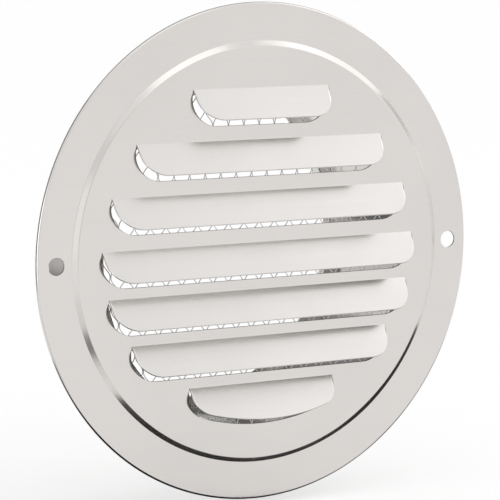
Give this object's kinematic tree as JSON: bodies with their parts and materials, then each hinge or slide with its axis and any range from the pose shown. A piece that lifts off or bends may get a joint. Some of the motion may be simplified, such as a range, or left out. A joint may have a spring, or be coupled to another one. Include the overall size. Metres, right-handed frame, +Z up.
{
  "type": "round vent cover",
  "caption": "Round pressed-steel vent cover with bent-out louvre flaps, a mesh screen behind them and a duct collar at the back, for the end of a wall duct.",
  "frame": {"origin": "centre of the wall plane, in which the folded hem of the face plate bears on the wall", "axes": "+Y into the wall along the duct, the louvres face -Y, +Z up, X across the two screw holes"},
  "size_m": [0.14, 0.0466, 0.14],
  "materials": {
    "plate_steel": "bright rolled stainless sheet",
    "mesh_steel": "plain expanded stainless mesh",
    "collar_steel": "bright rolled stainless sheet"
  },
  "bodies": {
    "root": {"face_plate": "plate_steel", "mesh_screen": "mesh_steel", "duct_collar": "collar_steel"}
  },
  "joints": []
}
